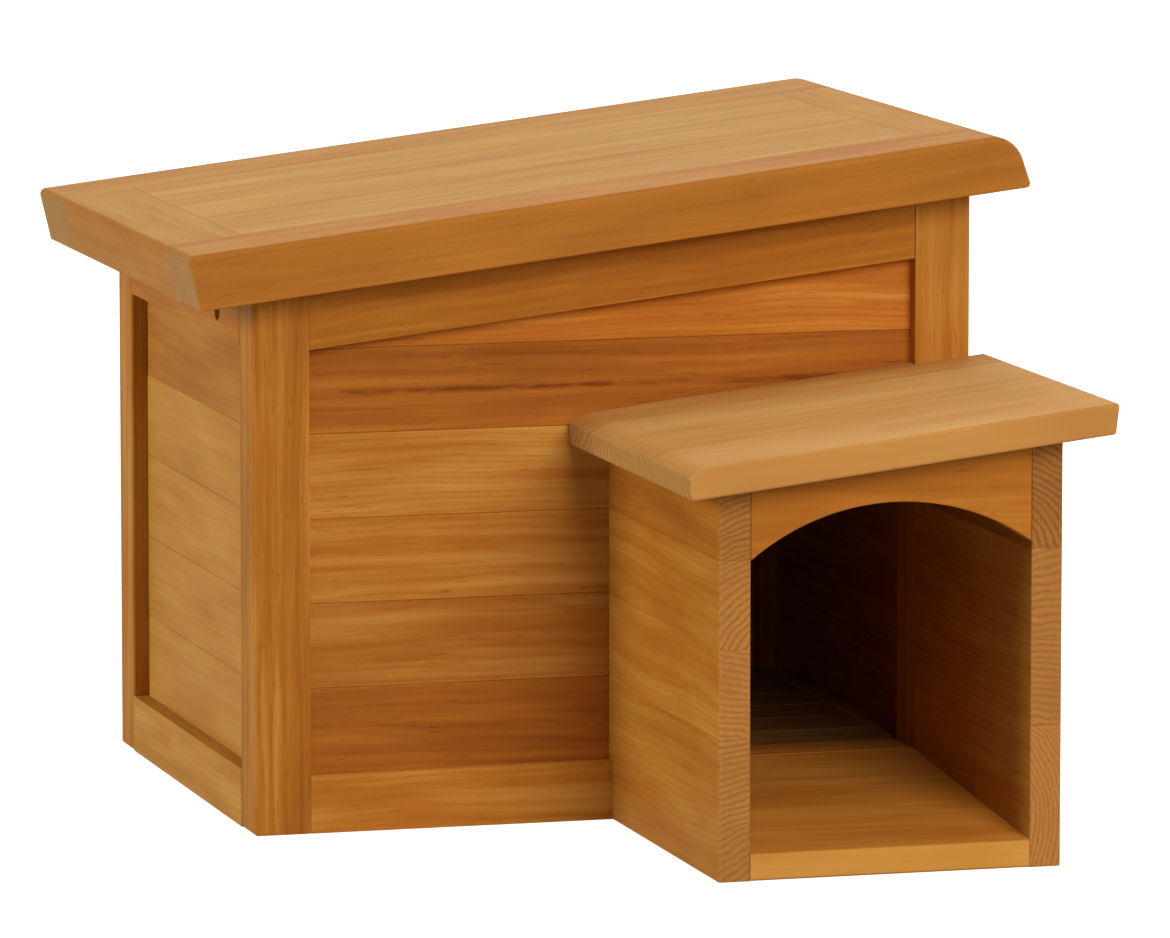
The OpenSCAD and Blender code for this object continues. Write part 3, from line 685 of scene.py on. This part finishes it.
for side, x0, y1 in (("left", porch_x, FACE - 0.4), ("right", porch_end - wall_t, 0.0)):
    corners = [(x0, porch_front), (x0 + wall_t, porch_front), (x0 + wall_t, y1), (x0, y1)]
    outline = rounded(corners, WALL_CORNERS[side])
    for i, (light, gain, rings) in enumerate(WALLS[side]):
        top = porch_seams[i + 1] if i < 3 else under_roof(x0)
        points, quads, caps = stick("xy", outline, porch_seams[i], top, WALL_EDGE, WALL_EDGE)
        if i == 3:
            points[:, 2] += np.where(points[:, 2] > top - 5, (points[:, 0] - x0) * rise, 0)
        shape = (points, quads, caps)
        piece(f"porch_{side}_{i + 1}", [board(shape, Y, X, light, gain, figure=0.6, rings=rings)])
print("porch", [round(float(v), 1) for v in (porch_x, porch_end, porch_front, porch_height)])

# %% [markdown]
# ## The arch
# A front board between the walls, sawn out to a flat arch. Its outline is the arc from
# wall to wall and the sloping top, so only this outline has a hollow side.

# %% Arch
# Its height and radius, and how far its middle lies to the right of the doorway's
ARCH_TOP, ARCH_R, ARCH_SHIFT = 196.0, 127.0, 3.0
low, high = measure("porch_arch")
x0, x1 = low[0], high[0]
arch_x, arch_z = (x0 + x1) / 2 + ARCH_SHIFT, ARCH_TOP - ARCH_R
a0 = math.pi - math.acos((arch_x - x0) / ARCH_R)
a1 = math.acos((x1 - arch_x) / ARCH_R)
a = np.linspace(a0, a1, 49)
arc = np.stack([arch_x + ARCH_R * np.cos(a), arch_z + ARCH_R * np.sin(a)], 1)
outline = np.vstack([arc, [(x1, under_roof(x1)), (x0, under_roof(x0))]])
shape = stick("xz", outline, low[1], high[1], 0.8, 0.8)
piece("porch_arch", [board(shape, X, Y, -0.05, 0.12, figure=0.5)])

# %% [markdown]
# ## Ramp
# The porch floor is one wide board that rises from the ground to the house floor. It is
# drawn as a side outline carried across, so its front edge can stay plumb. That edge is
# painted paler by its facing, painted light where the front lamp falls on it. A cleat inside the doorway carries
# its back end.

# %% Ramp
low, high = measure("porch_ramp")
RAMP_T = 14.7  # thickness, measured plumb
outline = rounded([(low[1], 0), (high[1], high[2] - RAMP_T), (high[1], high[2]), (low[1], RAMP_T)], 1.0)
shape = stick("yz", outline, low[0], high[0], 0.3, 0.3)
# Here the painted face light falls on the front edge, which faces along through: painted light that makes that
# edge paler.
piece("porch_ramp", [board(shape, X, -Y, 0.06, 0.16, painted_face_light=0.3, figure=0.35)])
CLEAT_DROP = 1.7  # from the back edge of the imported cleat's sloping top down to a level one
low, high = measure("ramp_cleat")
piece("ramp_cleat", [board(block("yz", low, high - (0, 0, CLEAT_DROP), 0.8, 0.5, 0.5), X, Z)])

# %% [markdown]
# ## Porch roof
# Five strips glued edge to edge. The left end rolls over in a large round, the right end
# is cut nearly plumb. The last strip is sawn out round the post.

# %% Porch roof
GLUED = 0.1  # radius where two strips are glued
ROUND_R, ROUND_FLAT, ROUND_DROP = 28.0, 7.5, 4.0  # the left end's round and the slant below it
LEAN = 2.0  # outward lean of the right end
for i in range(5):
    node = f"porch_roof_{i + 1}"
    low, high = measure(node, porch_foot)
    if i == 0:
        roof = (low, high)
    x0, x1, z1 = roof[0][0], roof[1][0], roof[1][2]
    corners = [(x0, 0), (x1 - z1 * rise - LEAN, 0), (x1, z1), (x0 + ROUND_FLAT, z1), (x0, z1 - ROUND_DROP)]
    outline = rounded(corners, [1.8, 1.8, 1.8, ROUND_R, 1.8], 8)
    front = 1.5 if i == 0 else GLUED
    points, quads, caps = stick("xz", outline, low[1], high[1], front, 1.0 if i == 4 else GLUED)
    shape = (tilt(points, porch_foot), quads, caps)
    cutters = []
    if i == 4:
        notch = block("xy", (width - post, 0, 100), (width + 60, 60, 300), 0.8, 0.5, 0.5)
        cutters = [mesh_object("notch", *notch)]
    light, figure = [(0.02, 0.25), (0.0, 0.5), (0.05, 0.5), (0.1, 0.5), (-0.08, 0.5)][i]
    rings = (60 + 25 * i, 25 - 18 * i, 5.5)
    # Painted light: the strips' upper faces are painted paler and a little darker, a painted sheen, with a
    # redder band of painted shade on their rounded edges.
    strip = board(shape, UP_SLOPE, OFF_SLOPE, light, 0.07, painted_face_light=0.12, figure=figure, rings=rings)
    piece(node, [strip], cutters)

# %% [markdown]
# ## Lid
# A frame of four rails round a field of five boards, all glued flush. The front and back
# rails run through to the ends, and the right end is rounded over.

# %% Lid
# The left end leans out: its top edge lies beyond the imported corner, its bottom edge inside
LEFT_OUT, LEFT_IN = 0.8, 2.8
SPLAY, LID_ROUND = 6.4, 17.0  # the right end leans in by this at the top, and rolls over
LID_JOINT = 0.35  # radius where two pieces of the lid meet
LID_TONES = {"front": (-0.12, -0.03), "back": (-0.04, -0.06), "left": (0.03, -0.1), "right": (0.0, -0.05)}
whole = measure("lid_rail_front", wall_foot)
lid_left, lid_right, lid_under, lid_top = whole[0][0], whole[1][0], whole[0][2], whole[1][2]
for side, (light, gain) in LID_TONES.items():
    low, high = measure("lid_rail_" + side, wall_foot)
    bottom = [low[0] + (LEFT_IN if side != "right" else 0), high[0]]
    top = [low[0] - (LEFT_OUT if side != "right" else 0), high[0] - (SPLAY if side != "left" else 0)]
    radii = [1.2, 2.6, LID_ROUND, 3.4]
    if side == "left":
        radii[1:3] = [LID_JOINT, LID_JOINT]
    if side == "right":
        radii[0] = radii[3] = LID_JOINT
    corners = [(bottom[0], low[2]), (bottom[1], low[2]), (top[1], high[2]), (top[0], high[2])]
    outline = rounded(corners, radii, 8)
    upward = np.clip(unit(mitre(outline))[:, 1], 0, 1)
    edge = 0.8 + (2.2 if side == "front" else 1.3) * upward
    ends = {"front": (edge, GLUED), "back": (GLUED, edge)}.get(side, (GLUED, GLUED))
    points, quads, caps = stick("xz", outline, low[1], high[1], *ends)
    shape = (tilt(points, wall_foot), quads, caps)
    along = UP_SLOPE if side in ("front", "back") else Y
    # Painted light: the rails' upper faces are painted paler and a little darker, a painted sheen, with a redder
    # band of painted shade on their rounded edges.
    piece("lid_rail_" + side, [board(shape, along, OFF_SLOPE, light, gain, painted_face_light=0.2, figure=0.4)])
for i, light in enumerate([0.02, -0.03, 0.06, 0.0, 0.04]):
    node = f"lid_board_{i + 1}"
    low, high = measure(node, wall_foot)
    points, quads, caps = block("yz", low, high, LID_JOINT, GLUED, GLUED)
    shape = (tilt(points, wall_foot), quads, caps)
    # Painted light: the field boards' upper faces are painted paler and a little darker, a painted sheen of the
    # light on the lid's top.
    piece(node, [board(shape, UP_SLOPE, OFF_SLOPE, light, -0.07, painted_face_light=0.24, figure=0.5)])
low, high = measure("lid_battens", wall_foot)
battens = []
for x in (low[0], high[0] - BATTEN):
    points, quads, caps = block("xz", (x, low[1], low[2]), (x + BATTEN, high[1], high[2]), 1.5)
    battens.append(board((tilt(points, wall_foot), quads, caps), Y, OFF_SLOPE))
piece("lid_battens", battens)
print("lid", [round(float(v), 1) for v in (lid_left, lid_right, lid_under, lid_top)])

# %% [markdown]
# ## Screws
# The screws have raised countersunk heads with a cross recess. A head is a surface over a
# polar grid: a dome, less the cross, which is sunk with sloping walls. One formula gives
# the heads of both kinds of screw, and every place gets its own copy.

# %% A screw
TURNS, CIRCLES = 48, 20


def circle(radius, count=32):
    """Points of a circle, anticlockwise."""
    a = np.linspace(0, 2 * math.pi, count + 1)[:-1]
    return radius * np.stack([np.cos(a), np.sin(a)], 1)


def screw(shaft, head, length):
    """A screw that points along -Z, with the rim of its head at z = 0.

    Over the head z = 0.22 h (1 - (r / h)^2) less the cross, whose depth falls off in r and
    is full where min(|x|, |y|) < 0.10 h. Below the rim the side closes to the shaft and its tip."""
    r = head * np.linspace(0.02, 1, CIRCLES)[:, None]
    a = 2 * math.pi * np.arange(TURNS) / TURNS
    x, y = r * np.cos(a), r * np.sin(a)
    groove = np.clip((0.16 * head - np.minimum(abs(x), abs(y))) / (0.06 * head), 0, 1)
    groove *= np.clip((0.62 * head - r) / (0.25 * head), 0, 1)
    dome = 0.22 * head * (1 - (r / head) ** 2) - 0.32 * head * groove
    rings = [np.stack([x, y, dome], 2)]
    for radius, z in ((head, -0.1), (shaft, -0.1 - (head - shaft)), (shaft, -length + shaft), (0.3, -length)):
        rings.append(np.stack([radius * np.cos(a), radius * np.sin(a), z + 0 * a], 1)[None])
    grid = np.concatenate(rings)
    i, j = np.meshgrid(np.arange(len(grid) - 1), np.arange(TURNS), indexing="ij")
    k = (j + 1) % TURNS
    quads = np.stack([i * TURNS + j, (i + 1) * TURNS + j, (i + 1) * TURNS + k, i * TURNS + k], 2).reshape(-1, 4)
    caps = np.stack([np.arange(TURNS), (len(grid) - 1) * TURNS + np.arange(TURNS)[::-1]])
    return grid.reshape(-1, 3), quads, caps


def placed(shape, turn, at):
    """A shape turned by a matrix whose rows are its new axes, and moved.

    A mirrored shape would be inside out, so its faces are reversed."""
    points, quads, caps = shape
    if np.linalg.det(turn) < 0:
        quads, caps = quads[:, ::-1], caps[:, ::-1]
    return points @ np.array(turn, float) + at, quads, caps


def metal(node, shapes):
    """Joins metal shapes in one mesh for a CAD node."""
    return settle(joined(node + "_brass", shapes), node)


# %% Porch screws
low, high = measure("porch_screws")
SCREW_HEAD, SCREW_SHAFT, SCREW_LENGTH = 3.8, 2.0, 50.0
TO_FRONT = np.array([X, -Z, Y])  # turns a screw that points along -Z to point to the front, along -Y
rows = np.linspace(low[2] + SCREW_HEAD, high[2] - SCREW_HEAD, 3)
places = [(low[0] + SCREW_HEAD, BACK, z) for z in rows] + [(high[0] - SCREW_HEAD, post, z) for z in rows]
metal("porch_screws", [placed(screw(SCREW_SHAFT, SCREW_HEAD, SCREW_LENGTH), TO_FRONT, at) for at in places])
print("porch screws at", [[round(float(c), 1) for c in at] for at in places])

# %% [markdown]
# ## Hinges
# Two butt hinges carry the lid at the back. Each has two leaves of sheet brass, rolled
# into knuckles that take turns along the pin. A leaf is drawn lying under the lid, with
# the pin's middle at zero, and the leaf on the box is the same drawing turned down.

# %% Hinges
HINGE_L, KNUCKLE_R, PIN_R, LEAF_T, LEAF_W = 50.0, 3.2, 1.5, 1.5, 15.0
KNUCKLES, LID_GAP, HEAD_R = 5, 0.3, 2.45
LEAF_UP = KNUCKLE_R + LID_GAP  # from the pin's middle to the wood
LEAF_LOW = LEAF_UP - LEAF_T
SCREW_Y = LEAF_UP + (LEAF_W - LEAF_UP) / 2


def leaf(first):
    """A plate with rounded outer corners, and every second knuckle.

    A knuckle is a roll that runs into the plate."""
    half = HINGE_L / 2
    corners = [(-half, LEAF_UP + 0.2), (half, LEAF_UP + 0.2), (half, LEAF_W), (-half, LEAF_W)]
    plate = rounded(corners, [0.5, 0.5, 1.8, 1.8])
    shapes = [stick("xy", plate, LEAF_LOW, LEAF_UP, 0.25, 0.1)]
    a = np.linspace(math.radians(80), math.radians(360) + math.asin(LEAF_LOW / KNUCKLE_R), 33)
    into_plate = [(LEAF_UP + 0.5, LEAF_LOW), (LEAF_UP + 0.5, LEAF_UP), (1.2, LEAF_UP)]
    roll = np.vstack([KNUCKLE_R * np.stack([np.cos(a), np.sin(a)], 1), into_plate])
    step = HINGE_L / KNUCKLES
    for i in range(first, KNUCKLES, 2):
        shapes.append(stick("yz", roll, i * step - half + 0.15, (i + 1) * step - half - 0.15, 0.2, 0.2))
    return shapes


def hinge_pin():
    """A rod with a domed head at each end."""
    half = HINGE_L / 2 + LID_GAP
    tip = half + LEAF_T / 2
    return [
        stick("yz", circle(PIN_R), -half, half, 0.1, 0.1),
        stick("yz", circle(HEAD_R), half, tip, 0.1, 0.6),
        stick("yz", circle(HEAD_R), -tip, -half, 0.6, 0.1),
    ]


DOWN = np.array([X, -Z, -Y])  # turns a leaf from under the lid to the back of the box
UPWARD = np.array([X, -Y, -Z])  # turns a screw that points along -Z to point up
one_screw = screw(1.3, HEAD_R, 14.0)
leaf_screws = [placed(one_screw, UPWARD, (x, SCREW_Y, LEAF_LOW)) for x in (-HINGE_L / 3, 0, HINGE_L / 3)]
pin_low, pin_high = measure("hinge_pins", wall_foot)
pin_at = (pin_low + pin_high) / 2
half_run = (pin_high[0] - pin_low[0] - HINGE_L - 2 * LID_GAP - LEAF_T) / 2


def on_hinges(shapes, turn=np.eye(3)):
    """Copies of shapes drawn about a pin's middle, at both hinges, on the slope."""
    made = []
    for side in (-half_run, half_run):
        for shape in shapes:
            points, quads, caps = placed(shape, turn, pin_at + (side, 0, 0))
            made.append((tilt(points, wall_foot), quads, caps))
    return made


metal("hinge_leaves_lid", on_hinges(leaf(1)))
metal("hinge_leaves_box", on_hinges(leaf(0), DOWN))
metal("hinge_screws_lid", on_hinges(leaf_screws))
metal("hinge_screws_box", on_hinges(leaf_screws, DOWN))
metal("hinge_pins", on_hinges(hinge_pin()))
print("hinges", [round(float(pin_at[0] + side), 1) for side in (-half_run, half_run)], "mm up the slope")

# %% [markdown]
# ## Camera
# The photograph was taken from far away with a long lens, a little from the left and
# from above. The camera's place and turn were worked out from the corners it shows.

# %% Camera
CAMERA_AT = corner + np.array([-1113.9, -4600.6, 835.3]) / 1000
YAW, PITCH, LENS = 15.746, 7.671, 276.37
yaw, pitch_down = math.radians(YAW), math.radians(PITCH)
level = math.cos(pitch_down)
look = Vector((math.sin(yaw) * level, math.cos(yaw) * level, -math.sin(pitch_down)))
camera_data = bpy.data.cameras.new("camera")
camera_data.lens, camera_data.sensor_width, camera_data.clip_end = LENS, 36.0, 100.0
camera = bpy.data.objects.new("camera", camera_data)
camera.location = CAMERA_AT
camera.rotation_mode = "QUATERNION"
camera.rotation_quaternion = look.to_track_quat("-Z", "Y")
bpy.context.scene.collection.objects.link(camera)
bpy.context.scene.camera = camera

# %% [markdown]
# ## Studio
# A white sweep of paper lit by large soft lamps. To the camera, and in reflections, the
# surroundings are plain white. The light itself comes from the lamps and a dimmer sky.

# %% Floor and sky


def shown(tree):
    """One for rays that end in the picture or in a reflection, zero for the light on the house."""
    rays = add(tree, "LightPath").outputs
    seen = rays["Is Camera Ray"]
    for kind in ("Is Glossy Ray", "Is Transmission Ray"):
        seen = add(tree, "Math", {0: seen, 1: rays[kind]}, operation="MAXIMUM").outputs[0]
    return seen


sheet = bpy.data.meshes.new("studio_floor")
FLOOR_HALF, FLOOR_Z = 12.0, -0.0002  # in metres: the paper lies just below the feet
corners = [(FLOOR_HALF * x, FLOOR_HALF * y, FLOOR_Z) for x, y in ((-1, -1), (1, -1), (1, 1), (-1, 1))]
sheet.from_pydata(corners, [], [(0, 1, 2, 3)])
studio_floor = bpy.data.objects.new("studio_floor", sheet)
bpy.context.scene.collection.objects.link(studio_floor)
paper, tree = begin("white_paper")
white = add(tree, "BsdfDiffuse", {"Color": (0.5, 0.5, 0.5, 1)})  # a white one throws too much light up
place = add(tree, "TexCoord").outputs["Object"]
away = add(tree, "VectorMath", {0: place}, operation="LENGTH").outputs["Value"]
# Near the house the paper is a little less than white, so the shadow shows; further off it is white
paper_glow = add(tree, "MapRange", {0: away, 1: 0.5, 2: 1.2, 3: 0.88, 4: 1.0}).outputs[0]
paper_glow = add(tree, "Math", {0: shown(tree), 1: paper_glow}, operation="MULTIPLY").outputs[0]
glow = add(tree, "Emission", {"Color": (1, 1, 1, 1), "Strength": paper_glow})
add(tree, "OutputMaterial", {0: add(tree, "AddShader", {0: white.outputs[0], 1: glow.outputs[0]}).outputs[0]})
sheet.materials.append(paper)

world = bpy.data.worlds.new("studio")
bpy.context.scene.world = world
world.use_nodes = True
tree = world.node_tree
tree.nodes.clear()
SKY = 0.03
strength = add(tree, "MapRange", {0: shown(tree), 1: 0.0, 2: 1.0, 3: SKY, 4: 1.0}).outputs[0]
sky = add(tree, "Background", {"Color": (1, 1, 1, 1), "Strength": strength})
add(tree, "OutputWorld", {0: sky.outputs[0]})

# %% [markdown]
# ## Lamps
# The front lamp is a large soft one, to the right of the camera and not high, so the
# lid's shadow on the boards is short and soft. The lamp above it brightens the lid's top.
# A lamp on each side and one behind light the other faces.

# %% Lamps
# Direction from the front and height in degrees, size in metres, and watts
LAMPS = {
    "front": (10, 24, 2.6, 177), "high": (-4, 58, 1.6, 59), "left": (-90, 19, 2.4, 164),
    "right": (95, 20, 2.4, 104), "back": (165, 42, 1.8, 90),
}
COOL = (0.93, 1.06, 1.0)  # the light from the left is a little cooler
DISTANCE = 5.0
AIM = np.array([0, 0, 0.15])  # the middle of the house
for name, (azimuth, elevation, size, watts) in LAMPS.items():
    turn, lift = math.radians(azimuth), math.radians(elevation)
    flat = math.cos(lift)
    at = AIM + DISTANCE * np.array([math.sin(turn) * flat, -math.cos(turn) * flat, math.sin(lift)])
    lamp = bpy.data.lights.new(name, "AREA")
    lamp.shape, lamp.size, lamp.energy = "DISK", size, watts
    if name == "left":
        lamp.color = COOL
    made = bpy.data.objects.new(name, lamp)
    made.location = at
    made.rotation_mode = "QUATERNION"
    made.rotation_quaternion = Vector(AIM - at).to_track_quat("-Z", "Y")
    bpy.context.scene.collection.objects.link(made)
bpy.context.scene.view_settings.view_transform = "Standard"
